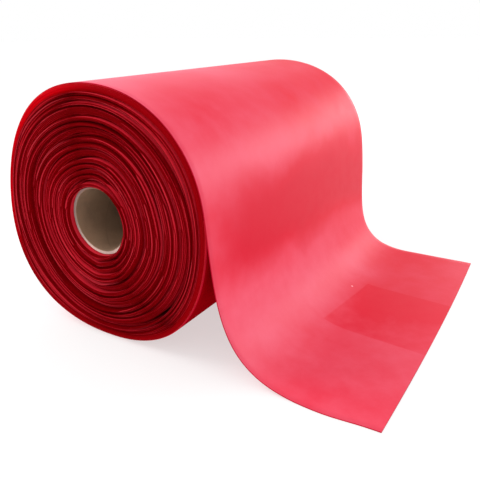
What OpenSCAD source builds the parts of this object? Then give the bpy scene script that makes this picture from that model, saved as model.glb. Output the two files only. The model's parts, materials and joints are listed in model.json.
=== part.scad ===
// Roll of sign vinyl on a paperboard core, with its free end run off onto the bench.
// The origin is the middle of the core's bore. +Y runs along the core, away from the
// front of the roll, +X is the way the film runs off, and +Z is up.
// The film is one long web. Its wound part is drawn as nested bands of turns, and its
// outermost turn, the curve down to the bench and the cut end are drawn at their thickness.

/* [Film] */
// Width of the film
film_w = 305; // [150:5:610]
// Thickness of the film
film_t = 0.8; // [0.5:0.1:1]
// Mean outside diameter of the roll
roll_d = 211; // [190:1:230]
// Loose turns under the outermost one, whose outline has slumped
loose_turn_count = 14; // [8:1:16]
// How far the film has slipped forward along the core
film_slip = 3.5; // [0:0.5:6]

/* [Core] */
// Bore of the core, which fits a two inch spindle
core_bore_d = 50.8; // [38:0.1:60]
// Thickness of the ply that lines the bore
lining_t = 0.5; // [0.3:0.1:0.8]
// Thickness of the plies that make the wall
wall_plies_t = 1.8; // [1:0.1:3]
// Thickness of the smooth ply on the outside
cover_t = 0.5; // [0.3:0.1:0.8]
// Length of the core
core_l = 305; // [150:5:610]

/* [Starting tape] */
// Thickness of the tape that holds the start of the film to the core
tape_t = 0.3; // [0.2:0.1:0.5]
// How far round the core the tape reaches, in degrees
tape_arc = 60; // [30:5:120]
// How far the tape stops short of each end of the core
tape_inset = 12; // [5:1:30]

/* [Free end] */
// Angle above the horizontal at which the film leaves the roll, in degrees
leave_angle = 10; // [4:1:16]
// How far out from the roll's mean radius the film comes down on the bench
landing_gap = 69; // [60:1:80]
// Length of film that lies flat on the bench
flat_l = 60; // [50:1:90]
// Length of the part of it that moves out with the cut end
free_end_l = 44; // [20:1:46]
// Reach of the bend at the roll, as a share of the roll's radius
top_bend = 0.6; // [0.4:0.05:0.7]
// Reach of the bend at the bench, as a share of the roll's radius
foot_bend = 0.7; // [0.5:0.05:0.75]

/* [Slump] */
// Flattening of the roll under its own weight, as a share of its radius
sag = 0.003; // [0:0.001:0.01]
// Lean of the outline towards an oval
oval = 0.02; // [0:0.005:0.03]
// Narrowing of the outline at its foot
pear = 0.01; // [0:0.005:0.015]
// Rounding of the outline towards a square
squareness = 0.017; // [0:0.001:0.02]
// Turn of that square shape against the bench
square_lean = 0.009; // [0:0.001:0.01]
// Depth by which the foot is pressed flat on the bench
foot_flat = 0.3; // [0.2:0.1:1]

/* [Hidden] */
$fn = 96;

// Each band of wound turns is [its share of their depth, how far its front edge stands out].
BANDS = [
    [0.06, 1], [0.15, 1.5], [0.14, 3], [0.12, 0.5],
    [0.15, 2], [0.12, -0.5], [0.14, 1], [0.12, 0]
];
// Clearance that lets the wound turns turn inside the loose ones.
running_gap = 0.3;
// Degrees between the points of the slumped outline.
outline_step = 3;
// Pieces that the free span's curve is drawn in.
span_steps = 28;

lining_r = core_bore_d / 2;
wall_r = lining_r + lining_t;
cover_r = wall_r + wall_plies_t;
core_r = cover_r + cover_t;
first_turn_r = core_r + tape_t;

film_front = -film_w / 2 - film_slip;
roll_r = roll_d / 2;
// Radius, at an angle, of a soft roll that has slumped a little under its own weight.
function slumped_r(a) = roll_r * (1 + sag * cos(2 * a) + oval * sin(2 * a)
    - pear * sin(3 * a) - squareness * cos(4 * a) + square_lean * sin(4 * a));
// The web is a spiral that gets one thickness deeper with each turn back from leave_angle.
function web_r(a, turn) = slumped_r(a) - film_t * (turn + (a - leave_angle) / 360);
bench_z = foot_flat + min([for (a = [180:outline_step:360]) web_r(a, 0) * sin(a)]);
// A point on the outside of the web, pressed flat along the bench. turn 0 is the outermost.
function web_point(a, turn) =
    let (r = web_r(a, turn))
    [r * cos(a), max(r * sin(a), bench_z + film_t * turn)];
function web_line(last, turn) =
    [for (a = [leave_angle:outline_step:last]) web_point(a, turn)];

// The loose turns touch each other at the foot, where they carry the wound ones.
wound_r = -bench_z - film_t * (loose_turn_count + 1) - running_gap;
function share_within(n) = n == 0 ? 0 : BANDS[n - 1][0] + share_within(n - 1);
function band_r(n) = first_turn_r + (wound_r - first_turn_r) * share_within(n);

function unit(v) = v / norm(v);
function left_of(v) = [-v[1], v[0]];
function backwards(list) = [for (i = [len(list) - 1:-1:0]) list[i]];

// The free span's middle line is a cubic curve from the roll down to the bench.
leave_way = unit(web_point(leave_angle, 0) - web_point(leave_angle + 1, 0));
leave_point = web_point(leave_angle, 0.5);
landing_point = [roll_r + landing_gap, bench_z + film_t / 2];
leave_handle = leave_point + top_bend * roll_r * leave_way;
landing_handle = landing_point - [foot_bend * roll_r, 0];
split_x = roll_r + landing_gap + flat_l - free_end_l;

function span_point(t) = pow(1 - t, 3) * leave_point + 3 * pow(1 - t, 2) * t * leave_handle
    + 3 * (1 - t) * t * t * landing_handle + t * t * t * landing_point;
function span_way(t) = pow(1 - t, 2) * (leave_handle - leave_point)
    + 2 * (1 - t) * t * (landing_handle - leave_handle)
    + t * t * (landing_point - landing_handle);
// One face of the free span: side is 1 for the upper face and -1 for the lower one.
function span_face(side) = [
    for (i = [1:span_steps])
        let (t = i / span_steps)
        span_point(t) + side * film_t / 2 * left_of(unit(span_way(t)))
];

// Extrudes a section, drawn with Z up the page, along the core.
module along_core(l, from) {
    translate([0, from + l, 0]) rotate([90, 0, 0]) linear_extrude(l) children();
}

module across_film() {
    along_core(film_w, film_front) children();
}

module tube(inside_r, outside_r, l, from) {
    along_core(l, from) difference() {
        circle(outside_r);
        circle(inside_r);
    }
}

module core_inner_ply() {
    color("saddlebrown") tube(lining_r, wall_r, core_l, -core_l / 2);
}

module core_wall_plies() {
    color("peru") tube(wall_r, cover_r, core_l, -core_l / 2);
}

module core_outer_ply() {
    color("wheat") tube(cover_r, core_r, core_l, -core_l / 2);
}

module start_tape() {
    l = core_l - 2 * tape_inset;
    color("ivory") rotate([-90, 0, 0]) rotate([0, 0, -tape_arc]) translate([0, 0, -l / 2])
        rotate_extrude(angle = tape_arc)
            translate([core_r, 0]) square([tape_t, l]);
}

module wound_turns(n) {
    color("firebrick")
        tube(band_r(n - 1), band_r(n), film_w, film_front - BANDS[n - 1][1]);
}

module loose_turns() {
    color("firebrick") across_film() difference() {
        polygon(web_line(leave_angle + 360, 1));
        circle(wound_r + running_gap);
    }
}

module outer_turn() {
    last = leave_angle + 360 - outline_step;
    color("crimson") across_film()
        polygon(concat(web_line(last, 0), backwards(web_line(last, 1))));
}

module free_span() {
    color("crimson") across_film() polygon(concat(
        [web_point(leave_angle, 0)],
        span_face(1),
        [[split_x, bench_z + film_t], [split_x, bench_z]],
        backwards(span_face(-1)),
        [web_point(leave_angle, 1)]
    ));
}

module free_end() {
    color("crimson") translate([split_x, film_front, bench_z])
        cube([free_end_l, film_w, film_t]);
}

core_inner_ply();
core_wall_plies();
core_outer_ply();
start_tape();
wound_turns(1);  // wound_turns_1
wound_turns(2);  // wound_turns_2
wound_turns(3);  // wound_turns_3
wound_turns(4);  // wound_turns_4
wound_turns(5);  // wound_turns_5
wound_turns(6);  // wound_turns_6
wound_turns(7);  // wound_turns_7
wound_turns(8);  // wound_turns_8
loose_turns();
outer_turn();
free_span();
free_end();
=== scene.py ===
"""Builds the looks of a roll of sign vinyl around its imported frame: a paperboard core,
the film wound on it turn by turn, and its free end run off onto the bench.

Lengths are in metres. +Y runs along the core, away from the front of the roll, +X is the
way the film runs off and +Z is up. Angles go round the core from +X towards +Z.
"""

import json
import math

import bmesh
import bpy
import numpy as np
from bpy.props import (
    FloatProperty,
    FloatVectorProperty,
    IntProperty,
    PointerProperty,
    StringProperty,
)
from mathutils import Matrix, Vector


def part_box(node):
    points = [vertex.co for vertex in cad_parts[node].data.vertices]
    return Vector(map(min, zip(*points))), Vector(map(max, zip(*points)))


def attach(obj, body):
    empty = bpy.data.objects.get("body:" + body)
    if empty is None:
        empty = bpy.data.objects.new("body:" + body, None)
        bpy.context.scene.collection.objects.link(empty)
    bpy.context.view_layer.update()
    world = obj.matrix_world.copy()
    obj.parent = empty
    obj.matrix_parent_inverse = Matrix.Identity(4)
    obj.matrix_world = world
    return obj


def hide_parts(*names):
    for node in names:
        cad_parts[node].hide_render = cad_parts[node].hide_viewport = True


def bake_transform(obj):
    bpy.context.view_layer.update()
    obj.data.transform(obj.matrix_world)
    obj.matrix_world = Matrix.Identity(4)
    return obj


bl_info = {
    "name": "Sign Vinyl Roll",
    "version": (1, 0, 0),
    "blender": (4, 5, 0),
    "location": "3D View > Sidebar > Vinyl Roll",
    "description": "Builds a roll of soft vinyl film with its free end laid out",
    "category": "Add Mesh",
}

MM = 0.001
TURN = 2 * math.pi

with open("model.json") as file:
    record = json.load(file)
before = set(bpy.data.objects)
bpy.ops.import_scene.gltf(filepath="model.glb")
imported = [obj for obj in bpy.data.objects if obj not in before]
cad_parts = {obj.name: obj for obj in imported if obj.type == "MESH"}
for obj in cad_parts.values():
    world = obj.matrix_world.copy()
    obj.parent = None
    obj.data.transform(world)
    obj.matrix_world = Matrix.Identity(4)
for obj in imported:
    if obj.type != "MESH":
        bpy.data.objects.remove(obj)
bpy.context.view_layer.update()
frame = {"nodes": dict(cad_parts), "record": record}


# ---------------------------------------------------------------------------
# What the frame says
# ---------------------------------------------------------------------------

WOUND_NODES = [f"wound_turns_{n}" for n in range(1, 9)]
MOUNTS = {m["name"]: m for m in frame["record"]["mounts"]}

BENCH_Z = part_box("free_end")[0].z
FILM_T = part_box("free_end")[1].z - BENCH_Z
FILM_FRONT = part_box("outer_turn")[0].y
FILM_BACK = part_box("outer_turn")[1].y
FILM_W = FILM_BACK - FILM_FRONT
CUT_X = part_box("free_end")[1].x
SPLIT_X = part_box("free_end")[0].x
CORE_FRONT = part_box("core_wall_plies")[0].y
CORE_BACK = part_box("core_wall_plies")[1].y
BORE_R = MOUNTS["core_bore"]["dims"]["r_mm"] * MM
LINING_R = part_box("core_inner_ply")[1].x
WALL_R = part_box("core_wall_plies")[1].x
CORE_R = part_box("core_outer_ply")[1].x
BAND_R = [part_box(n)[1].x for n in WOUND_NODES]
BAND_FRONT = [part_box(n)[0].y for n in WOUND_NODES]
WOUND_R = BAND_R[-1]

# The first turn lies on the starting tape.
TAPE_T = 0.3 * MM
FIRST_TURN_R = CORE_R + TAPE_T
# The wound turns turn inside the loose ones, which are drawn a little thin to stay apart.
RUNNING_GAP = 0.3 * MM
LOOSE_T = 0.97 * FILM_T


# ---------------------------------------------------------------------------
# Settings
# ---------------------------------------------------------------------------


class FilmSettings(bpy.types.PropertyGroup):
    """The film: how it is wound, how it runs off, and its colour."""

    inner_turns: IntProperty(
        name="Wound turns",
        description="Turns wound tightly on the core",
        default=62,
        min=8,
    )
    loose_turns: IntProperty(
        name="Loose turns",
        description="Loose turns between the wound ones and the outermost one",
        default=14,
        min=4,
    )
    flush_turns: FloatProperty(
        name="Flush turns",
        description="Outermost turns that lie tight, with their edges level",
        default=7.5,
        min=0,
    )
    steps_per_turn: IntProperty(
        name="Steps per turn",
        description="Cross-sections in each turn of the web",
        default=120,
        min=24,
    )
    leave_angle: FloatProperty(
        name="Leaving angle",
        description="Angle above the horizontal at which the film leaves the roll",
        default=math.radians(10),
        subtype="ANGLE",
    )
    landing_front: FloatProperty(
        name="Landing, front",
        description="Distance from the core's axis at which the front edge meets the bench",
        default=0.1795,
        subtype="DISTANCE",
    )
    landing_back: FloatProperty(
        name="Landing, back",
        description="Distance from the core's axis at which the back edge meets the bench",
        default=0.1680,
        subtype="DISTANCE",
    )
    colour: FloatVectorProperty(
        name="Film colour",
        description="Colour of the film's face",
        default=(0.715, 0.007, 0.032),
        subtype="COLOR",
        min=0,
        max=1,
    )
    # The bloom colour is also that of the painted sheen and highlights on the film.
    bloom_and_sheen_colour: FloatVectorProperty(
        name="Bloom colour",
        description="Colour of the film where its surface is milky",
        default=(0.80, 0.115, 0.18),
        subtype="COLOR",
        min=0,
        max=1,
    )
    # A deep red, partly the edges' own and partly painted shade of the roll's end face. It is
    # also the colour of the painted shade under the roll and on the outer edges.
    edge_and_shade_colour: FloatVectorProperty(
        name="Edge colour",
        description="Colour of the film's slit edges in the wound roll",
        default=(0.215, 0.0002, 0.002),
        subtype="COLOR",
        min=0,
        max=1,
    )
    wound_colour: FloatVectorProperty(
        name="Wound film colour",
        description="Colour of the film's faces inside the roll",
        default=(0.72, 0.019, 0.04),
        subtype="COLOR",
        min=0,
        max=1,
    )
    # A brighter copy of the edges' colour: painted light on the level outermost turns.
    outer_edge_painted_light_colour: FloatVectorProperty(
        name="Outer edge colour",
        description="Colour of the slit edges of the level outermost turns",
        default=(0.62, 0.0003, 0.005),
        subtype="COLOR",
        min=0,
        max=1,
    )
    sheet_edge_colour: FloatVectorProperty(
        name="Sheet edge colour",
        description="Colour of the slit edges that lie out in the light, and of the cut end",
        default=(0.56, 0.008, 0.03),
        subtype="COLOR",
        min=0,
        max=1,
    )


class CoreSettings(bpy.types.PropertyGroup):
    """The paperboard core and the tape that starts the film on it."""

    seam_pitch: FloatProperty(
        name="Seam pitch",
        description="Length of core in which a ply's seam goes once round",
        default=0.115,
        subtype="DISTANCE",
    )
    board_colour: FloatVectorProperty(
        name="Board colour",
        description="Colour of the paperboard's cut ends and outside",
        default=(0.78, 0.62, 0.54),
        subtype="COLOR",
        min=0,
        max=1,
    )
    lining_colour: FloatVectorProperty(
        name="Lining colour",
        description="Colour of the paper inside the bore",
        default=(0.36, 0.23, 0.14),
        subtype="COLOR",
        min=0,
        max=1,
    )


class StageSettings(bpy.types.PropertyGroup):
    """The floor, the lights and the camera."""

    view_azimuth: FloatProperty(
        name="View azimuth",
        description="Camera's bearing round the roll, from straight in front",
        default=math.radians(31.785),
        subtype="ANGLE",
    )
    view_elevation: FloatProperty(
        name="View elevation",
        description="Camera's angle above the horizontal",
        default=math.radians(21.333),
        subtype="ANGLE",
    )
    view_roll: FloatProperty(
        name="View roll",
        description="Camera's tilt about its own line of sight",
        default=math.radians(-0.816),
        subtype="ANGLE",
    )
    view_distance: FloatProperty(
        name="View distance",
        description="Camera's distance from the core's middle",
        default=0.54531,
        subtype="DISTANCE",
    )
    view_right: FloatProperty(
        name="View right",
        description="How far the camera stands to the right of the core's middle",
        default=0.0294,
        subtype="DISTANCE",
    )
    view_up: FloatProperty(
        name="View up",
        description="How far the camera stands above the core's middle",
        default=-0.06413,
        subtype="DISTANCE",
    )
    lens: FloatProperty(
        name="Lens",
        description="Camera's focal length in millimetres",
        default=40.71,
    )
    floor_colour: FloatVectorProperty(
        name="Floor colour",
        description="Colour of the pale floor",
        default=(0.42, 0.42, 0.42),
        subtype="COLOR",
        min=0,
        max=1,
    )


# ---------------------------------------------------------------------------
# Shapes
# ---------------------------------------------------------------------------


# Points round the roll at which an outline is worked out, one to a degree.
ROUND = 360
# The outline that the frame gives has a point every so many degrees.
OUTLINE_STEP = 3
# Waves round the outline that are kept. Finer ones are only its facets.
OUTLINE_WAVES = 16
NOISE_KNOTS = 4096
# Keeps small negative places away from the end of the list of knots.
NOISE_START = 64


def eased(share):
    """A share held between 0 and 1, starting and ending gently."""
    share = np.clip(share, 0, 1)
    return share * share * (3 - 2 * share)


def smooth_noise(seed, at, spacing):
    """Smooth noise in one dimension, from about -1 to 1, with a knot every spacing."""
    knots = np.random.default_rng(seed).uniform(-1, 1, NOISE_KNOTS)
    place = np.asarray(at, float) / spacing + NOISE_START
    whole = np.floor(place).astype(int)
    part = eased(place - whole)
    return knots[whole % NOISE_KNOTS] * (1 - part) + knots[(whole + 1) % NOISE_KNOTS] * part


def hump(value, centre, width):
    """1 at its centre, falling away smoothly over its width."""
    return np.exp(-(((value - centre) / width) ** 2))


def hump_round(angle, centre_deg, width_deg):
    """A hump round the roll, at an angle in degrees."""
    return hump((np.degrees(angle) - centre_deg + 180) % 360 - 180, 0, width_deg)


def outline_radius():
    """The roll's outline, read from the outermost turn, as a function of the angle."""
    co = np.array([v.co for v in frame["nodes"]["outer_turn"].data.vertices])
    angle = np.arctan2(co[:, 2], co[:, 0]) % TURN
    radius = np.hypot(co[:, 0], co[:, 2])
    bins = np.floor(np.degrees(angle) / OUTLINE_STEP).astype(int)
    keep = [np.flatnonzero(bins == b)[np.argmax(radius[bins == b])] for b in set(bins)]
    keep = np.array(sorted(keep, key=lambda i: angle[i]))
    leave = bpy.context.scene.vinyl_film.leave_angle
    # The web is a spiral, so its radius drops by one thickness in going once round.
    drop = FILM_T * ((angle[keep] - leave) % TURN) / TURN
    even = np.linspace(0, TURN, ROUND, endpoint=False)
    waves = np.fft.rfft(
        np.interp(even, angle[keep], radius[keep] + drop, period=TURN)
    )
    waves[OUTLINE_WAVES:] = 0
    smooth = np.fft.irfft(waves, ROUND)
    return lambda a: np.interp(np.asarray(a) % TURN, even, smooth, period=TURN)


class Winding:
    """A stack of turns between two outlines. Its depth coordinate counts the turns from the
    innermost one outwards, and its air is shared out between them so that they never cross."""

    # Rows to a turn.
    FINE = 10
    # The least share of the even air that a wave or a tight turn leaves.
    WAVE_AIR = 0.15
    TIGHT_AIR = 0.02
    # How many turns a gap is spread over.
    GAP_SPREAD = 0.3

    def __init__(self, inside, outside, turns, film_t, waves, gaps, tight_from):
        self.film_t = film_t
        angle = np.linspace(0, TURN, ROUND, endpoint=False)
        depth = np.arange(turns * self.FINE) / self.FINE + 0.5 / self.FINE
        d, a = np.meshgrid(depth, angle, indexing="ij")
        low, high = inside(angle), outside(angle)
        room = high - low - turns * film_t
        even = np.broadcast_to(room / turns, d.shape)
        share = d / turns
        lift = np.zeros(d.shape)
        for centre, width, size in waves:
            lift += size * hump_round(a, centre, width)
        # A wave that is widest half way through the stack opens air under it.
        air = even + lift * math.pi / turns * np.cos(math.pi * share)
        air = np.maximum(air, self.WAVE_AIR * even)
        air = np.where(d > tight_from, self.TIGHT_AIR * even, air)
        for layer, centre, width, size in gaps:
            near = hump(d, layer, self.GAP_SPREAD) / (self.GAP_SPREAD * math.sqrt(math.pi))
            air = air + size * near * hump_round(a, centre, width)
        air *= room / (air.sum(0) / self.FINE)
        face = low + np.vstack(
            [np.zeros(ROUND), np.cumsum((air + film_t) / self.FINE, axis=0)]
        )
        self.face = np.hstack([face, face[:, :1]])

    def inner_face(self, depth, angle):
        """Radius of the film's inner face at a depth in turns and an angle."""
        row = np.clip(np.asarray(depth) * self.FINE, 0, len(self.face) - 1.001)
        column = (np.asarray(angle) % TURN) / TURN * ROUND
        i, j = np.floor(row).astype(int), np.floor(column).astype(int)
        i, j = np.minimum(i, len(self.face) - 2), np.minimum(j, ROUND - 1)
        y, x = row - i, column - j
        f = self.face
        return (f[i, j] * (1 - x) + f[i, j + 1] * x) * (1 - y) + (
            f[i + 1, j] * (1 - x) + f[i + 1, j + 1] * x
        ) * y


def face_outwards(mesh):
    """Turns a closed mesh's faces the right way out."""
    shell = bmesh.new()
    shell.from_mesh(mesh)
    if shell.calc_volume(signed=True) < 0:
        mesh.flip_normals()
    shell.free()


def web_piece(name, loops, faces, along, across, goes_round=False):
    """A closed piece over loops of points. along and across give each point's place on the
    flat web, which the materials read. Where the piece goes round to its own start, the
    place along it counts on."""
    mesh = bpy.data.meshes.new(name)
    mesh.from_pydata(loops.reshape(-1, 3).tolist(), [], faces)
    face_outwards(mesh)
    corner = np.zeros(len(mesh.loops), int)
    mesh.loops.foreach_get("vertex_index", corner)
    place = np.stack([np.ravel(along), np.ravel(across)], -1)[corner]
    if goes_round:
        turned = place.reshape(-1, 4, 2)[:, :, 0]
        turned += turned < turned.max(1)[:, None] - 0.5
    layer = mesh.uv_layers.new(name="web")
    layer.data.foreach_set("uv", place.astype(np.float32).ravel())
    mesh.validate()
    mesh.update()
    piece = bpy.data.objects.new(name, mesh)
    bpy.context.scene.collection.objects.link(piece)
    return piece


def ring_quads(n, m, last):
    """Quads between n loops of m points, up to the loop called last."""
    i, j = np.meshgrid(np.arange(last), np.arange(m), indexing="ij")
    i2, j2 = (i + 1) % n, (j + 1) % m
    return np.stack([i * m + j, i * m + j2, i2 * m + j2, i2 * m + j], -1).reshape(-1, 4).tolist()


def skin(name, loops, along, across, body):
    """A closed piece over a row of equal loops, with its two ends capped."""
    n, m = loops.shape[:2]
    caps = [list(range(m))[::-1], [(n - 1) * m + c for c in range(m)]]
    piece = web_piece(name, loops, ring_quads(n, m, n - 1) + caps, along, across)
    piece.data.polygons.foreach_set("use_smooth", [True] * len(piece.data.polygons))
    if body:
        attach(piece, body)
    return piece


def ring_skin(name, loops, along, across):
    """A closed piece over loops that go right round and meet again, such as a tube."""
    n, m = loops.shape[:2]
    return web_piece(name, loops, ring_quads(n, m, n), along, across, goes_round=True)


def shade_smooth(piece, limit_deg):
    """Smooth shading, with edges sharper than the limit kept crisp."""
    piece.data.polygons.foreach_set("use_smooth", [True] * len(piece.data.polygons))
    piece.data.set_sharp_from_angle(angle=math.radians(limit_deg))


# How far in from its edges the film's section has its inner points.
SECTION_INSET = 9 * MM
# How far the film's slit edges are eased, as a share of its thickness.
EDGE_EASE = 0.12
# A cut edge leans with the slope of its ridge, measured over this many turns each way, and
# takes this share of it.
LEAN_REACH = 0.1
LEAN_SHARE = 0.9


def web_section(film_t):
    """The film's cut section: (how far out from its middle, which edge, how far in from it)
    for each point of the loop round it."""
    h, corner = film_t / 2, EDGE_EASE * film_t
    shoulder, step_in = h - corner * 0.7, corner * 0.25
    front = [
        (h, SECTION_INSET),
        (h, corner),
        (shoulder, step_in),
        (0, 0),
        (-shoulder, step_in),
        (-h, corner),
        (-h, SECTION_INSET),
    ]
    return [(off, 0, inset) for off, inset in front] + [
        (off, 1, inset) for off, inset in front[::-1]
    ]


def wound_strip(name, body, winding, angle_at, first, last, edges, proud, painted_light_from=None):
    """A stretch of the wound web, from depth first to depth last, as a closed strip. edges
    gives where its front edge lies at each depth and angle, and proud how far a crest stands
    out of that. The cut edge leans with its neighbours, so that a ridge of several turns has
    one rounded profile."""
    steps = bpy.context.scene.vinyl_film.steps_per_turn
    film_t = winding.film_t
    # Every turn has its steps at the same angles, so that neighbours can't cross.
    inside = np.arange(math.floor(first * steps) + 1, math.ceil(last * steps)) / steps
    depth = np.concatenate([[first], inside, [last]])
    angle = angle_at(depth)
    radius = winding.inner_face(depth, angle) + film_t / 2
    front = edges(depth, angle)
    lean = edges(depth + LEAN_REACH, angle) - edges(depth - LEAN_REACH, angle)
    lean = lean / (2 * LEAN_REACH)
    front = front - proud(depth, angle)
    x, z = radius * np.cos(angle), radius * np.sin(angle)
    way = np.stack([np.gradient(x), np.gradient(z)], -1)
    way /= np.linalg.norm(way, axis=1)[:, None]
    out = np.stack([-way[:, 1], way[:, 0]], -1)
    length = np.concatenate([[0], np.cumsum(np.hypot(np.diff(x), np.diff(z)))])
    loops, along, across = [], [], []
    section = web_section(film_t)
    for off, edge, inset in section:
        y = front + inset if edge == 0 else front + FILM_W - inset
        y = y + lean * off / film_t * LEAN_SHARE
        sink = droop(depth, angle) if edge == 0 and inset < SECTION_INSET else 0
        px, pz = x + off * out[:, 0], z + off * out[:, 1]
        scale = 1 - sink / np.hypot(px, pz)
        loops.append(np.stack([px * scale, y, pz * scale], -1))
        along.append(length)
        across.append(y)
    loops, along, across = (np.stack(part, 1) for part in (loops, along, across))
    piece = skin(name, loops, along, across, body)
    dress(
        piece,
        material("vinyl_wound", wound_face_material),
        material("vinyl_edges", film_edge_material),
        material("vinyl_edges_outer_painted_light", outer_edge_painted_light_material),
    )
    # The cut edges take the second material. The rest of the section is the film's faces.
    inset = np.array([part[2] for part in section])
    cut = np.maximum(inset, np.roll(inset, -1)) < SECTION_INSET
    which = np.tile(cut, (len(depth) - 1, 1)).astype(np.int32)
    if painted_light_from is not None:
        # The level outermost turns' edges take the material with painted light, brighter than the
        # other edges.
        which += (depth[:-1] > painted_light_from)[:, None] & cut[None, :]
    piece.data.polygons.foreach_set("material_index", np.append(which, [1, 1]))
    return piece


# Turns next to the core that can sag.
SAGGING_TURNS = 8


def droop(depth, angle):
    """How far the first turns sag at their front edge, where the core stops short of them."""
    if depth[0] > SAGGING_TURNS:
        return 0.0
    return 2.3 * MM * hump_round(angle, 112, 48) * np.clip(1.15 - depth / 3.4, 0, 1)


# ---------------------------------------------------------------------------
# Materials
# ---------------------------------------------------------------------------


class Nodes:
    """A material's node tree, with short calls for the nodes used here."""

    def __init__(self, name):
        self.material = bpy.data.materials.new(name)
        self.material.use_nodes = True
        self.tree = self.material.node_tree
        self.shader = self.tree.nodes["Principled BSDF"]

    def add(self, kind, inputs=None, **settings):
        made = self.tree.nodes.new(kind)
        for key, value in settings.items():
            setattr(made, key, value)
        for key, value in (inputs or {}).items():
            self.feed(made.inputs[key], value)
        return made

    def feed(self, socket, value):
        if isinstance(value, bpy.types.NodeSocket):
            self.tree.links.new(value, socket)
        else:
            socket.default_value = value

    def set(self, **values):
        for key, value in values.items():
            self.feed(self.shader.inputs[key.replace("_", " ")], value)

    def web(self):
        """The place on the flat web."""
        return self.add("ShaderNodeUVMap", uv_map="web").outputs["UV"]

    def place(self):
        """The place in the piece's own space."""
        return self.add("ShaderNodeTexCoord").outputs["Object"]

    def parts(self, vector):
        """A place's X, Y and Z."""
        return self.add("ShaderNodeSeparateXYZ", {"Vector": vector}).outputs

    def math(self, operation, a, b=0.0):
        return self.add("ShaderNodeMath", {0: a, 1: b}, operation=operation).outputs[0]

    def plus(self, a, b):
        return self.math("ADD", a, b)

    def less(self, a, b):
        return self.math("SUBTRACT", a, b)

    def times(self, a, b):
        return self.math("MULTIPLY", a, b)

    def noise(self, vector, scale, detail=3.0, roughness=0.5, distortion=0.0):
        return self.add(
            "ShaderNodeTexNoise",
            {
                "Vector": vector,
                "Scale": scale,
                "Detail": detail,
                "Roughness": roughness,
                "Distortion": distortion,
            },
        ).outputs["Fac"]

    def between(self, value, low, high, to_low=0.0, to_high=1.0):
        """A smooth step of value from low to high, mapped to a new range."""
        return self.add(
            "ShaderNodeMapRange",
            {
                "Value": value,
                "From Min": low,
                "From Max": high,
                "To Min": to_low,
                "To Max": to_high,
            },
            interpolation_type="SMOOTHSTEP",
        ).outputs["Result"]

    def window(self, value, a, b, c, d):
        """1 between b and c, falling smoothly to 0 at a and d."""
        return self.times(self.between(value, a, b), self.between(value, d, c))

    def mix(self, share, a, b):
        made = self.add("ShaderNodeMix", data_type="RGBA")
        self.feed(made.inputs["Factor"], share)
        self.feed(made.inputs["A"], a)
        self.feed(made.inputs["B"], b)
        return made.outputs["Result"]

    def patchy(self, share, dark, colour):
        """A colour that goes to a darker one of itself in patches."""
        return self.mix(self.between(share, 0.3, 0.7), rgba(colour, dark), rgba(colour))

    def bump(self, height, distance):
        return self.add(
            "ShaderNodeBump", {"Height": height, "Distance": distance, "Strength": 1.0}
        ).outputs["Normal"]


def rgba(colour, strength=1.0):
    return (*(min(1.0, strength * c) for c in colour), 1.0)


# Noise of the film's surface: (scale, detail, roughness).
MOTTLE = (70.0, 4.0, 0.6)
GRAIN = (1500.0, 2.0, 0.5)
GRAIN_DEPTH = 0.02 * MM
FILM_IOR = 1.47


def painted_sheen_and_bloom(n, back, across, ragged_back, under):
    """How milky the film looks, with painted sheen and painted dark reflections in it. back
    counts metres from the cut end and across counts metres along the core. The fourth argument is
    back with a ragged edge, and the last is the painted shade under the roll. Gives the bloom,
    and the painted dark reflection half way down to the bench."""
    # Painted dark reflection: less bloom half way down to the bench, weaker near the front edge.
    painted_dark_reflection = n.times(
        n.window(ragged_back, 0.15, 0.183, 0.205, 0.256), n.between(across, -0.16, -0.1, 0.3, 1.0)
    )
    # Painted highlight across the lower bend of the free film.
    milky = n.window(ragged_back, 0.06, 0.11, 0.14, 0.17)
    # Painted sheen over the top of the roll, towards the front edge.
    painted_top_sheen = n.times(n.window(back, 0.3, 0.37, 0.5, 0.56), n.between(across, 0.1, -0.02))
    # Painted dim reflection on the roll's shoulder, weaker near the front edge.
    painted_dim_reflection = n.times(
        n.window(back, 0.245, 0.272, 0.3, 0.34), n.between(across, -0.15, -0.07, 0.35, 1.0)
    )
    # A patch with plain edges, where the bloom is weaker.
    end = n.plus(back, n.times(across, 0.1))
    side = n.less(across, n.times(back, 0.085))
    patch = n.times(
        n.window(end, -0.02, 0.012, 0.0815, 0.0835),
        n.window(side, -0.0555, -0.0535, 0.036, 0.038),
    )
    # Less bloom near the cut end and towards the back edge, and in the patch and the painted
    # shade under the roll.
    bloom = 0.0
    for share, size in (
        (painted_dark_reflection, -0.52),
        (milky, 0.22),
        (painted_top_sheen, 0.36),
        (painted_dim_reflection, -0.21),
        (n.between(back, 0.1, 0.04), -0.08),
        (across, -1.5),
        (patch, -0.26),
        (under, -0.5),
    ):
        bloom = n.plus(bloom, n.times(share, size))
    return bloom, painted_dark_reflection


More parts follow.
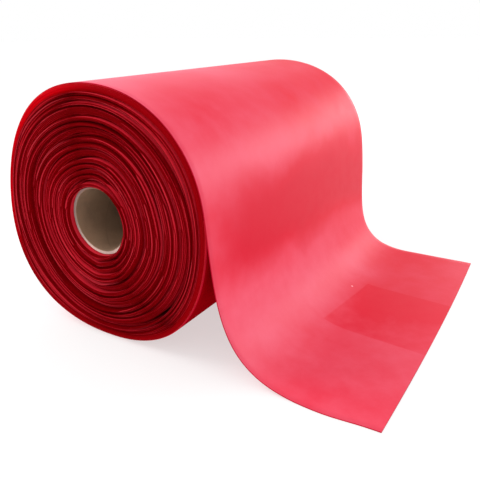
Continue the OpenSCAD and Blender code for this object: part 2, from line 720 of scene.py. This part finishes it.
def film_face_material():
    """Soft satin vinyl: saturated red under a milky bloom that comes and goes in clouds, with a
    fine grain. Painted sheen and highlights add to the bloom in bands, painted dark reflections
    take it off, a patch near the cut end has less of it, and the film under the roll is painted
    darker as shade."""
    film = bpy.context.scene.vinyl_film
    n = Nodes("vinyl_face")
    web = n.web()
    cloud = n.noise(web, 11.0, 3.0, 0.5, 0.3)
    mottle = n.noise(web, *MOTTLE)
    parts = n.parts(web)
    back, across = parts["X"], parts["Y"]
    # Back with a ragged edge, where the painted sheen and shade start and stop.
    ragged_back = n.plus(back, n.times(n.less(cloud, 0.5), 0.05))
    # Painted shade on the underside of the roll, in the gap above the free film: darker, rougher
    # and without bloom.
    under = n.between(ragged_back, 0.62, 0.76, 0.0, 0.9)
    painted_sheen_and_bloom_shift, painted_dark_reflection = painted_sheen_and_bloom(n, back, across, ragged_back, under)
    clouds = n.between(cloud, 0.32, 0.68, 0.2, 0.48)
    clouds = n.plus(clouds, n.between(mottle, 0.3, 0.75, -0.06, 0.1))
    bloom = n.math("MAXIMUM", n.plus(clouds, painted_sheen_and_bloom_shift), 0.0)
    tone = n.mix(bloom, rgba(film.colour), rgba(film.bloom_and_sheen_colour))
    # The painted dark reflection also darkens the film's colour.
    tone = n.mix(n.times(painted_dark_reflection, 0.75), tone, rgba(film.colour, 0.84))
    # One small pale speck.
    off = n.plus(
        n.math("POWER", n.math("ABSOLUTE", n.less(back, 0.0885)), 2.0),
        n.math("POWER", n.math("ABSOLUTE", n.less(across, 0.026)), 2.0),
    )
    tone = n.mix(n.between(off, 1.2e-6, 0.4e-6), tone, (1.0, 0.45, 0.5, 1))
    n.set(
        Base_Color=n.mix(under, tone, rgba(film.edge_and_shade_colour)),
        Roughness=n.math("MAXIMUM", n.between(mottle, 0.3, 0.75, 0.44, 0.5), under),
        Normal=n.bump(n.plus(n.noise(web, *GRAIN), n.times(mottle, 0.6)), GRAIN_DEPTH),
        IOR=FILM_IOR,
        Specular_IOR_Level=0.13,
    )
    return n.material


def edge_material(name, colour, fleck, shaded=0.0):
    """Slit edges of the film, where the light sinks in and comes back deep red. Where asked, they
    are painted darker away from the upper left of the roll, as painted shade.
    """
    film = bpy.context.scene.vinyl_film
    n = Nodes(name)
    web = n.web()
    slit = n.noise(web, 420.0, 3.0, 0.6)
    tone = n.patchy(n.noise(web, 14.0, 2.0, 0.5), 0.7, colour)
    if shaded:
        # Painted shade: the edges are painted darker away from the upper left of the roll, where
        # the light comes from.
        parts = n.parts(n.place())
        deep = n.between(n.less(n.times(parts["Z"], 0.75), parts["X"]), 0.05, 0.115, shaded, 0.0)
        tone = n.mix(deep, tone, rgba(film.edge_and_shade_colour))
    n.set(
        Base_Color=n.mix(n.between(slit, 0.5, 0.85, 0.0, fleck), tone, rgba(film.colour)),
        Roughness=n.between(slit, 0.3, 0.7, 0.45, 0.6),
        Normal=n.bump(slit, 0.04 * MM),
        IOR=FILM_IOR,
        Specular_IOR_Level=0.005,
    )
    return n.material


def wound_face_material():
    """The film's faces inside the roll: deep red, clean and free of bloom."""
    n = Nodes("vinyl_wound")
    web = n.web()
    mottle = n.noise(web, *MOTTLE)
    n.set(
        Base_Color=n.patchy(mottle, 0.8, bpy.context.scene.vinyl_film.wound_colour),
        Roughness=n.between(mottle, 0.3, 0.75, 0.46, 0.52),
        Normal=n.bump(n.noise(web, *GRAIN), GRAIN_DEPTH),
        IOR=FILM_IOR,
        Specular_IOR_Level=0.15,
    )
    return n.material


def film_edge_material():
    """Slit edges of the turns, one on another in the roll, in a deep red that is partly painted
    shade.
    """
    return edge_material("vinyl_edges", bpy.context.scene.vinyl_film.edge_and_shade_colour, 0.25)


def outer_edge_painted_light_material():
    """Slit edges of the level outermost turns, with painted light: brighter than the other edges,
    and painted darker away from the upper left.
    """
    film = bpy.context.scene.vinyl_film
    return edge_material("vinyl_edges_outer_painted_light", film.outer_edge_painted_light_colour, 0.1, 0.85)


def sheet_edge_material():
    """The outermost turn's slit edges and the cut end, which lie out in the light."""
    film = bpy.context.scene.vinyl_film
    return edge_material("vinyl_edges_film", film.sheet_edge_colour, 0.5)


def shaded_face_material():
    """The outermost turn where it lies under the roll, painted dark red as shade, without bloom
    or reflection.
    """
    n = Nodes("vinyl_shaded")
    web = n.web()
    mottle = n.noise(web, *MOTTLE)
    n.set(
        Base_Color=n.mix(mottle, (0.26, 0.0003, 0.0035, 1), (0.34, 0.0005, 0.005, 1)),
        Roughness=0.6,
        Normal=n.bump(n.noise(web, *GRAIN), GRAIN_DEPTH),
        IOR=FILM_IOR,
        Specular_IOR_Level=0.0,
    )
    return n.material


def board_material(name, colour, pitch, painted_board_shade):
    """Spirally wound paperboard: short pulp fibres, and a faint line at each ply's seam."""
    n = Nodes(name)
    parts = n.parts(n.web())
    slant = n.plus(n.math("DIVIDE", parts["Y"], pitch), parts["X"])
    seam = n.math("ABSOLUTE", n.less(n.math("FRACT", slant), 0.5))
    place = n.place()
    fibre = n.noise(place, 900.0, 4.0, 0.65, 0.4)
    tone = n.patchy(n.noise(place, 45.0, 3.0, 0.55), 0.72, colour)
    tone = n.mix(n.between(fibre, 0.5, 0.75, 0.0, 0.5), tone, rgba(colour, 1.25))
    tone = n.mix(n.between(seam, 0.0, 0.012, 0.7, 0.0), tone, rgba(colour, 0.72))
    # Painted shade: the board is painted darker above the foot of the core, and keeps its own
    # colour at the foot.
    painted_board_shade_share = n.between(n.parts(place)["Z"], -0.027, -0.004, 0.0, painted_board_shade)
    n.set(
        Base_Color=n.mix(painted_board_shade_share, tone, rgba(colour, 0.26)),
        Roughness=n.between(fibre, 0.3, 0.7, 0.72, 0.9),
        Normal=n.bump(fibre, 0.06 * MM),
    )
    return n.material


def tape_material():
    """Off-white double-sided tape, a little crinkled."""
    n = Nodes("tape")
    crinkle = n.noise(n.place(), 160.0, 3.0, 0.6)
    n.set(
        Base_Color=n.mix(crinkle, (0.72, 0.68, 0.58, 1), (0.85, 0.83, 0.75, 1)),
        Roughness=n.between(crinkle, 0.3, 0.7, 0.35, 0.6),
        Normal=n.bump(crinkle, 0.05 * MM),
    )
    return n.material


def floor_material():
    """A plain pale matte floor."""
    colour = bpy.context.scene.vinyl_stage.floor_colour
    n = Nodes("floor")
    n.set(
        Base_Color=n.mix(n.noise(n.place(), 1.5, 2.0, 0.5), rgba(colour, 0.985), rgba(colour)),
        Roughness=0.9,
        Specular_IOR_Level=0.1,
        Emission_Color=(1, 1, 1, 1),
        Emission_Strength=0.57,
    )
    return n.material


def material(name, make):
    """The named material, made the first time that a piece needs it."""
    return bpy.data.materials.get(name) or make()


def dress(piece, *materials):
    """Gives the piece its materials, in the order that its faces count them."""
    for m in materials:
        piece.data.materials.append(m)


# ---------------------------------------------------------------------------
# The core
# ---------------------------------------------------------------------------


TUBE_SEGMENTS = 144
TUBE_ROWS = 120
# Edges of the core and the tape sharper than this stay crisp, in degrees.
CRISP = 40


def core_ply(name, node, inside_r, outside_r, set_back, seam_side, seam_shift):
    """One paper tube of the core: crisp cut ends, and a shallow spiral seam on one side."""
    core = bpy.context.scene.vinyl_core
    chamfer = 0.12 * MM
    front, back = CORE_FRONT + set_back, CORE_BACK - set_back
    level = np.linspace(front + chamfer, back - chamfer, TUBE_ROWS)
    inner = [(inside_r, y, -1) for y in level]
    outer = [(outside_r, y, 1) for y in level[::-1]]
    profile = (
        [(inside_r + chamfer, front, 0)]
        + inner
        + [(inside_r + chamfer, back, 0), (outside_r - chamfer, back, 0)]
        + outer
        + [(outside_r - chamfer, front, 0)]
    )
    r, y, side = (np.array(c, float) for c in zip(*profile, strict=True))
    angle = np.linspace(0, TURN, TUBE_SEGMENTS + 1)[:-1]
    a, rr = np.meshgrid(angle, r, indexing="ij")
    yy, ss = np.broadcast_to(y, a.shape), np.broadcast_to(side, a.shape)
    slant = (yy / core.seam_pitch + a / TURN + seam_shift) % 1
    seam = hump(slant, 0.5, 0.008) * 0.16 * MM
    fray = smooth_noise(11 + len(name), a * 9, 1.0) * 0.08 * MM
    rr = rr - seam_side * seam * (ss == seam_side)
    # The two cut ends are frayed, and the side of the tube between them isn't.
    at_end = np.where(yy < 0, 1.0, -1.0) * (np.abs(yy) > CORE_BACK - 1 * MM - set_back)
    yy = yy + at_end * fray
    loops = np.stack([rr * np.cos(a), yy, rr * np.sin(a)], -1)
    piece = ring_skin(name, loops, a / TURN + seam_shift, yy)
    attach(piece, "wound_roll")
    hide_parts(node)
    return piece


class VINYL_OT_core(bpy.types.Operator):
    """Builds the core's paper plies, with their cut ends and spiral seams"""

    bl_idname = "vinyl.core"
    bl_label = "Core"

    def execute(self, context):
        core = context.scene.vinyl_core
        # The last number is how far painted shade darkens each board above the core's foot.
        lining = board_material("board_lining", core.lining_colour, core.seam_pitch, 0.1)
        board = board_material("board_wall", core.board_colour, core.seam_pitch, 0.72)
        for name, node, low, high, back, side, shift, look in (
            ("core_lining", "core_inner_ply", BORE_R, LINING_R, 0, -1, 0.0, lining),
            ("core_wall", "core_wall_plies", LINING_R, WALL_R, 0.1 * MM, 0, 0.3, board),
            ("core_cover", "core_outer_ply", WALL_R, CORE_R, 0, 1, 0.6, board),
        ):
            piece = core_ply(name, node, low, high, back, side, shift)
            shade_smooth(piece, CRISP)
            dress(piece, look)
        return {"FINISHED"}


class VINYL_OT_start_tape(bpy.types.Operator):
    """Lays the tape that holds the start of the film to the core"""

    bl_idname = "vinyl.start_tape"
    bl_label = "Starting tape"

    def execute(self, context):
        low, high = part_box("start_tape")
        inside, outside = CORE_R, FIRST_TURN_R
        reach = math.asin(min(1.0, high.z / outside))
        angle = np.linspace(0, reach, 40)
        front, back = low.y, high.y
        loops, along, across = [], [], []
        for k, a in enumerate(angle):
            ragged = 0.25 * MM * math.sin(k * 1.9) * math.sin(k * 0.7)
            ring = [
                (inside, back - ragged),
                (outside, back - ragged),
                (outside, front + ragged),
                (inside, front + ragged),
            ]
            loops.append([(r * math.cos(a), y, r * math.sin(a)) for r, y in ring])
            along.append([a * r for r, _ in ring])
            across.append([y for _, y in ring])
        loops, along, across = (np.array(part) for part in (loops, along, across))
        piece = skin("tape", loops, along, across, "wound_roll")
        shade_smooth(piece, CRISP)
        dress(piece, tape_material())
        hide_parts("start_tape")
        return {"FINISHED"}


# ---------------------------------------------------------------------------
# The wound turns
# ---------------------------------------------------------------------------

# Swells and hollows of the wound turns: (angle in degrees, width, height in metres).
WOUND_WAVES = [
    (62, 30, 2.6 * MM),
    (113, 24, -3.0 * MM),
    (262, 34, 2.4 * MM),
    (318, 26, -2.6 * MM),
]
# Places where two turns have parted: (depth in turns, angle, width, opening in metres).
WOUND_GAPS = [
    (0.9, 268, 9, 1.6 * MM),
    (3.7, 92, 36, 4.2 * MM),
    (3.9, 312, 26, 2.0 * MM),
    (8.2, 300, 20, 1.2 * MM),
    (12.5, 100, 18, 1.4 * MM),
    (13.0, 304, 22, 1.6 * MM),
    (21.5, 106, 24, 2.6 * MM),
    (21.4, 318, 26, 2.2 * MM),
    (30.4, 318, 18, 1.4 * MM),
    (36.3, 100, 15, 1.2 * MM),
    (40.2, 98, 18, 2.0 * MM),
    (45.0, 12, 14, 1.4 * MM),
    (47.2, 316, 18, 1.6 * MM),
    (54.6, 100, 16, 1.2 * MM),
    (54.8, 316, 20, 1.4 * MM),
    (61.9, 104, 22, 3.0 * MM),
    (61.8, 314, 22, 2.4 * MM),
]
# The same for the loose turns.
LOOSE_WAVES = [(62, 30, 1.2 * MM), (113, 22, -1.2 * MM), (262, 30, 0.8 * MM)]
LOOSE_GAPS = [
    (2.0, 96, 14, 0.9 * MM),
    (3.1, 318, 20, 1.0 * MM),
    (6.0, 104, 18, 1.2 * MM),
    (6.1, 322, 22, 1.4 * MM),
    (8.2, 326, 20, 1.5 * MM),
]


def wound_winding():
    """The wound turns, between the starting tape and the room in which they turn."""
    film = bpy.context.scene.vinyl_film
    return Winding(
        lambda a: np.full_like(a, FIRST_TURN_R),
        lambda a: np.full_like(a, WOUND_R),
        film.inner_turns,
        FILM_T,
        WOUND_WAVES,
        WOUND_GAPS,
        film.inner_turns + 1,
    )


def loose_winding(outline):
    """The loose turns, out to the roll's outline. The outermost turn has its place there."""
    film = bpy.context.scene.vinyl_film
    turns = film.loose_turns + 2
    return Winding(
        lambda a: np.full_like(a, WOUND_R + RUNNING_GAP),
        outline,
        turns,
        LOOSE_T,
        LOOSE_WAVES,
        LOOSE_GAPS,
        turns - film.flush_turns,
    )


def band_limits():
    """Depths in turns at which one band of wound turns gives way to the next."""
    turns = bpy.context.scene.vinyl_film.inner_turns
    reach = WOUND_R - FIRST_TURN_R
    return [0.0] + [(turns - 1) * (r - FIRST_TURN_R) / reach for r in BAND_R]


TURNS_PER_RIDGE = 5.0
# More ridges than there are, each with its own random spread and height.
RIDGES = 64


def ridge_marks():
    """Depths at which one rounded ridge of turns gives way to the next, about five turns to
    a ridge, with a mark at the limit of every band."""
    limits = band_limits()
    spread = np.random.default_rng(17).uniform(-0.4, 0.4, RIDGES)
    marks, k = [limits[0]], 0
    for low, high in zip(limits, limits[1:], strict=False):
        parts = max(1, round((high - low) / TURNS_PER_RIDGE))
        for n in range(1, parts + 1):
            shift = spread[k] if n < parts else 0.0
            marks.append(low + (high - low) * n / parts + shift)
            k += 1
    return np.array(marks)


def ridge_of(depth, marks):
    """The ridge that a depth lies in, and its share of the way across that ridge."""
    depth = np.asarray(depth)
    n = np.clip(np.searchsorted(marks, depth, side="right") - 1, 0, len(marks) - 2)
    return n, np.clip((depth - marks[n]) / (marks[n + 1] - marks[n]), 0, 1)


def crest_line(depth, angle, marks, height):
    """How far the one turn at each ridge's crest stands proud of its neighbours."""
    n, _ = ridge_of(depth, marks)
    crest = marks[n] + (marks[n + 1] - marks[n]) * (0.5 + 0.3 * np.sin(angle))
    inside = (depth > marks[0] + 0.6) & (depth < marks[-1] - 0.6)
    return height * inside * np.clip((0.5 - np.abs(depth - crest)) / 0.06 + 0.5, 0, 1)


def ridge(depth, angle, marks, seed, height):
    """How far a turn stands out in its ridge: rounded, lowest at each mark, and with its
    crest shifted upwards, as soft turns lie under their own weight."""
    n, part = ridge_of(depth, marks)
    crest = 0.5 + 0.26 * np.sin(angle)
    away = np.where(part < crest, (crest - part) / crest, (part - crest) / (1 - crest))
    tall = height * np.random.default_rng(seed).uniform(0.55, 1.3, RIDGES)[n]
    return tall * ((1 - away**2.4) - 0.5)


def wound_edges(depth, angle):
    """Where the front edge of the wound web lies: each band of turns has slipped along the
    core by its own amount, and stands out in rounded ridges of a few turns each."""
    limits = band_limits()
    y = np.full(np.shape(depth), BAND_FRONT[0])
    for n in range(1, len(BAND_FRONT)):
        step = eased((depth - limits[n] + 0.25) / 0.5)
        y = y + (BAND_FRONT[n] - BAND_FRONT[n - 1]) * step
    y = y - ridge(depth, angle, ridge_marks(), 19, 3.0 * MM)
    y = y + 0.22 * MM * smooth_noise(3, depth, 0.9)
    return y + 0.12 * MM * smooth_noise(8, depth, 0.21)


class VINYL_OT_wound_turns(bpy.types.Operator):
    """Winds the film on the core, one strip for each band of turns"""

    bl_idname = "vinyl.wound_turns"
    bl_label = "Wound turns"

    def execute(self, context):
        film = context.scene.vinyl_film
        winding = wound_winding()
        limits = band_limits()
        for n, node in enumerate(WOUND_NODES):
            piece = wound_strip(
                f"wound_film_{n + 1}",
                "wound_roll",
                winding,
                lambda d: film.leave_angle - TURN * d,
                limits[n],
                limits[n + 1],
                wound_edges,
                lambda d, a: crest_line(d, a, ridge_marks(), 0.8 * MM),
            )
            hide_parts(node)
        return {"FINISHED"}


def flush_from():
    """Depth in the loose turns at which the level, tight ones start."""
    film = bpy.context.scene.vinyl_film
    return film.loose_turns + 1 - film.flush_turns


def loose_marks():
    """Depths at which the loose turns' ridges give way to each other."""
    return np.array([0.0, 2.4, 4.9, flush_from()])


def loose_edges(depth, angle):
    """Where the front edge of the loose turns lies. The outermost ones are level, and round
    off towards the outside."""
    ridged = -ridge(depth, angle, loose_marks(), 27, 2.6 * MM)
    ridged = ridged + 0.2 * MM * smooth_noise(21, depth, 0.9)
    past = depth - flush_from()
    part = np.clip(past / bpy.context.scene.vinyl_film.flush_turns, 0, 1)
    flush = 1.4 * MM - 2.6 * MM * (1 - (1 - part) ** 3) + 3.4 * MM * part**3
    share = eased(past / 0.4 + 0.5)
    return FILM_FRONT + ridged * (1 - share) + flush * share


class VINYL_OT_loose_turns(bpy.types.Operator):
    """Winds the loose turns that have slumped round the roll"""

    bl_idname = "vinyl.loose_turns"
    bl_label = "Loose turns"

    def execute(self, context):
        film = context.scene.vinyl_film
        winding = loose_winding(outline_radius())
        last = film.loose_turns
        piece = wound_strip(
            "loose_film",
            "slumped_film",
            winding,
            lambda d: film.leave_angle + TURN * (last - d),
            0.0,
            last,
            loose_edges,
            lambda d, a: crest_line(d, a, loose_marks(), 0.6 * MM),
            flush_from(),
        )
        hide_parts("loose_turns")
        return {"FINISHED"}


# ---------------------------------------------------------------------------
# The outermost turn and the free end
# ---------------------------------------------------------------------------


# Points along the film: round the outermost turn, down to the bench and out to the end.
TURN_POINTS, SPAN_POINTS, FLAT_POINTS = 150, 70, 30
# Points across the film.
FILM_ROWS = 57
# Share of a whole turn that the outermost one covers.
OUTER_SHARE = 0.985
# How far the ends of the curve down to the bench reach at the front edge, and how much
# further at the back one, as shares of the roll's radius.
TOP_REACH, TOP_REACH_MORE = 0.567, 0.072
FOOT_REACH, FOOT_REACH_MORE = 0.672, 0.044
# Edges of the sheet sharper than this stay crisp, in degrees.
SHEET_CRISP = 50
# The film lies under the roll from this far back from its cut end.
SHADED_FROM = 0.705


def web_path(outline, share):
    """The film's middle line at a share of the way from its front edge to its back one:
    the outermost turn, the curve down to the bench and the flat end. Gives x and z."""
    film = bpy.context.scene.vinyl_film
    mid = FILM_T / 2
    deep = np.linspace(OUTER_SHARE, 0, TURN_POINTS)
    angle = film.leave_angle + TURN * deep
    radius = outline(angle) - FILM_T * deep - mid
    turn = np.stack([radius * np.cos(angle), radius * np.sin(angle)], -1)
    turn[:, 1] = np.maximum(turn[:, 1], BENCH_Z + mid)
    way = turn[-1] - turn[-2]
    way /= np.linalg.norm(way)
    size = outline(0.0)
    landing = film.landing_front + (film.landing_back - film.landing_front) * share
    top_reach = (TOP_REACH + TOP_REACH_MORE * share) * size
    foot_reach = (FOOT_REACH + FOOT_REACH_MORE * share) * size
    p0, p3 = turn[-1], np.array([landing, BENCH_Z + mid])
    p1, p2 = p0 + top_reach * way, p3 - np.array([foot_reach, 0])
    t = np.linspace(0, 1, SPAN_POINTS + 1)[1:, None]
    span = (1 - t) ** 3 * p0 + 3 * (1 - t) ** 2 * t * p1 + 3 * (1 - t) * t**2 * p2 + t**3 * p3
    flat = np.linspace(landing, CUT_X, FLAT_POINTS + 1)[1:]
    flat = np.stack([flat, np.full(len(flat), BENCH_Z + mid)], -1)
    return np.vstack([turn, span, flat])


def sheet_lift(length, back, height, y):
    """How far the film stands off its smooth path. It lies flat where it meets the bench and
    close to the turns under it on the roll, and wavers a little between."""
    free = np.clip(height / (12 * MM), 0, 1) ** 2
    waver = 0.5 + 0.5 * smooth_noise(31, length + 0.35 * y, 0.085)
    waver = waver * (0.5 + 0.5 * smooth_noise(33, y - 0.2 * length, 0.11))
    close = np.clip((back - 0.195) / 0.04, 0, 1)
    return (0.05 * close + 1.1 * free * waver * (1 - close)) * MM


def sheet_spread(x, back, height, across):
    """How far back along the core the film lies from where it would run straight. Its front
    edge flares where it meets the bench, and the outermost turn sits back a little, level
    with the turns under it."""
    flare = hump(x, 0.193, 0.024) * (height < 30 * MM)
    spread = -2.6 * MM * flare * np.clip(1 - 2 * across, 0, 1) ** 2
    return spread + 2.0 * MM * eased((back - 0.26 + 0.19 * across) / 0.09)


def round_section(value):
    """A value at each point across the film, carried round the whole of its section: the
    front edge, the upper face, the back edge and the lower face."""
    front, back = value[:, :1], value[:, -1:]
    return np.concatenate([front, front, value, back, back, value[:, ::-1]], 1)


def film_sheet(outline):
    """The sheet's loops of points, their places along and across it, and its length."""
    across = np.linspace(0, 1, FILM_ROWS)
    paths = np.stack([web_path(outline, s) for s in across], 1)
    across = across[None, :]
    step = np.diff(paths, axis=0, prepend=2 * paths[:1] - paths[1:2])
    way = np.gradient(paths, axis=0)
    way /= np.linalg.norm(way, axis=2, keepdims=True)
    out = np.stack([-way[..., 1], way[..., 0]], -1)
    length = np.cumsum(np.linalg.norm(step, axis=2), axis=0)
    back = length[-1:] - length
    x, height = paths[..., 0], paths[..., 1] - BENCH_Z
    y = FILM_FRONT + FILM_W * across
    lift = sheet_lift(length, back, height, y)
    y = np.broadcast_to(y + 0.12 * MM * smooth_noise(35, length[:, :1], 0.02), length.shape)
    y = y + sheet_spread(x, back, height, across)
    # The end is cut slightly bowed.
    end = np.clip((x - SPLIT_X) / (CUT_X - SPLIT_X), 0, 1)
    bow = 2.4 * MM * end * (1 - (2 * across - 1) ** 2)
    # Both faces are drawn from edge to edge, with the corners eased.
    h, corner = FILM_T / 2, 0.14 * FILM_T
    inset = np.zeros(FILM_ROWS)
    inset[0], inset[-1] = corner, -corner

    def face(off, inset):
        p = paths + out * (lift + off)[..., None]
        return np.stack([p[..., 0] + bow, y + inset, p[..., 1]], -1)

    low, high = face(corner - h, 0), face(h - corner, 0)
    upper, lower = face(h, inset), face(-h, inset)
    loops = np.concatenate(
        [low[:, :1], high[:, :1], upper, high[:, -1:], low[:, -1:], lower[:, ::-1]], 1
    )
    return loops, round_section(back), round_section(y), float(length[-1].mean())


def sheet_looks(along):
    """Which of the sheet's materials each of its faces takes: the film's own, the edges' one
    along both edges and on the two cut ends, or the shaded one under the roll."""
    around = along.shape[1]
    which = np.where(along[:-1, 0] > SHADED_FROM, 2, 0)[:, None] * np.ones(around, int)
    back_edge = FILM_ROWS + 1
    which[:, [0, 1, back_edge, back_edge + 1, back_edge + 2, around - 1]] = 1
    return np.append(which, [1, 1]).astype(np.int32)


class VINYL_OT_film(bpy.types.Operator):
    """Lays the outermost turn of film, its curve down to the bench and its flat end"""

    bl_idname = "vinyl.film"
    bl_label = "Film"

    def execute(self, context):
        loops, along, across, length = film_sheet(outline_radius())
        piece = skin("film", loops, along, across, None)
        shade_smooth(piece, SHEET_CRISP)
        dress(
            piece,
            material("vinyl_face", film_face_material),
            material("vinyl_edges_film", sheet_edge_material),
            material("vinyl_shaded", shaded_face_material),
        )
        piece.data.polygons.foreach_set("material_index", sheet_looks(along))
        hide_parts("outer_turn", "free_span", "free_end")
        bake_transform(piece)
        return {"FINISHED"}


# ---------------------------------------------------------------------------
# The stage
# ---------------------------------------------------------------------------


# The floor reaches this far each way, and lies just under the bench's level.
FLOOR_REACH = 12.0
FLOOR_GAP = 0.1 * MM
WHITE = (1, 1, 1)
COOL = (0.93, 0.95, 1.0)
# The softboxes: (name, place, size, power, colour).
SOFTBOXES = (
    ("back_softbox", (0.79, 1.39, 0.34), (1.7, 0.4), 14.6, COOL),
    ("top_softbox", (-0.75, -0.35, 0.75), (0.6, 0.6), 6, WHITE),
)
# What the softboxes point at.
LIT_PLACE = (0.05, 0, 0)


def area_light(name, place, size, power, colour):
    """A softbox that points at the middle of the piece, and isn't seen itself."""
    data = bpy.data.lights.new(name, "AREA")
    data.shape = "RECTANGLE"
    data.size, data.size_y = size
    data.energy = power
    data.color = colour
    light = bpy.data.objects.new(name, data)
    bpy.context.scene.collection.objects.link(light)
    light.location = place
    light.visible_camera = False
    light.rotation_euler = (Vector(LIT_PLACE) - Vector(place)).to_track_quat("-Z", "Y").to_euler()


class VINYL_OT_stage(bpy.types.Operator):
    """Sets the pale floor, the soft lights and the camera"""

    bl_idname = "vinyl.stage"
    bl_label = "Stage"

    def execute(self, context):
        self.make_floor()
        self.make_lights(context.scene)
        self.make_camera(context.scene)
        return {"FINISHED"}

    def make_floor(self):
        signs = ((-1, -1), (1, -1), (1, 1), (-1, 1))
        spread = [(FLOOR_REACH * i, FLOOR_REACH * j, BENCH_Z - FLOOR_GAP) for i, j in signs]
        mesh = bpy.data.meshes.new("floor")
        mesh.from_pydata(spread, [], [(0, 1, 2, 3)])
        floor = bpy.data.objects.new("floor", mesh)
        bpy.context.scene.collection.objects.link(floor)
        dress(floor, floor_material())

    def make_lights(self, scene):
        world = bpy.data.worlds.new("studio")
        world.use_nodes = True
        sky = world.node_tree.nodes["Background"].inputs
        sky["Color"].default_value = rgba(WHITE)
        sky["Strength"].default_value = 1.0
        scene.world = world
        for softbox in SOFTBOXES:
            area_light(*softbox)
        scene.view_settings.view_transform = "Standard"

    def make_camera(self, scene):
        s = scene.vinyl_stage
        az, el = s.view_azimuth, s.view_elevation
        back = Vector(
            (math.sin(az) * math.cos(el), -math.cos(az) * math.cos(el), math.sin(el))
        )
        right = Vector((math.cos(az), math.sin(az), 0))
        up = back.cross(right)
        data = bpy.data.cameras.new("camera")
        data.lens = s.lens
        data.sensor_width = 36
        data.clip_start = 0.01
        camera = bpy.data.objects.new("camera", data)
        scene.collection.objects.link(camera)
        turn = Matrix((right, up, back)).transposed().to_4x4()
        place = back * s.view_distance + right * s.view_right + up * s.view_up
        camera.matrix_world = (
            Matrix.Translation(place) @ turn @ Matrix.Rotation(s.view_roll, 4, "Z")
        )
        scene.camera = camera


# ---------------------------------------------------------------------------
# Add-on
# ---------------------------------------------------------------------------

OPERATORS = (
    VINYL_OT_stage,
    VINYL_OT_core,
    VINYL_OT_start_tape,
    VINYL_OT_wound_turns,
    VINYL_OT_loose_turns,
    VINYL_OT_film,
)


class VINYL_PT_roll(bpy.types.Panel):
    """Lists the roll's settings and the steps that build it"""

    bl_idname = "VINYL_PT_roll"
    bl_label = "Vinyl Roll"
    bl_space_type = "VIEW_3D"
    bl_region_type = "UI"
    bl_category = "Vinyl Roll"

    def draw(self, context):
        layout = self.layout
        for group in (
            context.scene.vinyl_film,
            context.scene.vinyl_core,
            context.scene.vinyl_stage,
        ):
            box = layout.box()
            for name in group.__annotations__:
                box.prop(group, name)
        for operator in OPERATORS:
            layout.operator(operator.bl_idname)


GROUPS = {
    "vinyl_film": FilmSettings,
    "vinyl_core": CoreSettings,
    "vinyl_stage": StageSettings,
}


def register():
    for cls in (*GROUPS.values(), *OPERATORS, VINYL_PT_roll):
        bpy.utils.register_class(cls)
    for name, cls in GROUPS.items():
        setattr(bpy.types.Scene, name, PointerProperty(type=cls))


def unregister():
    for name in GROUPS:
        delattr(bpy.types.Scene, name)
    for cls in reversed((*GROUPS.values(), *OPERATORS, VINYL_PT_roll)):
        bpy.utils.unregister_class(cls)


def main():
    register()
    for operator in OPERATORS:
        group, name = operator.bl_idname.split(".")
        getattr(getattr(bpy.ops, group), name)()


if __name__ == "__main__":
    main()
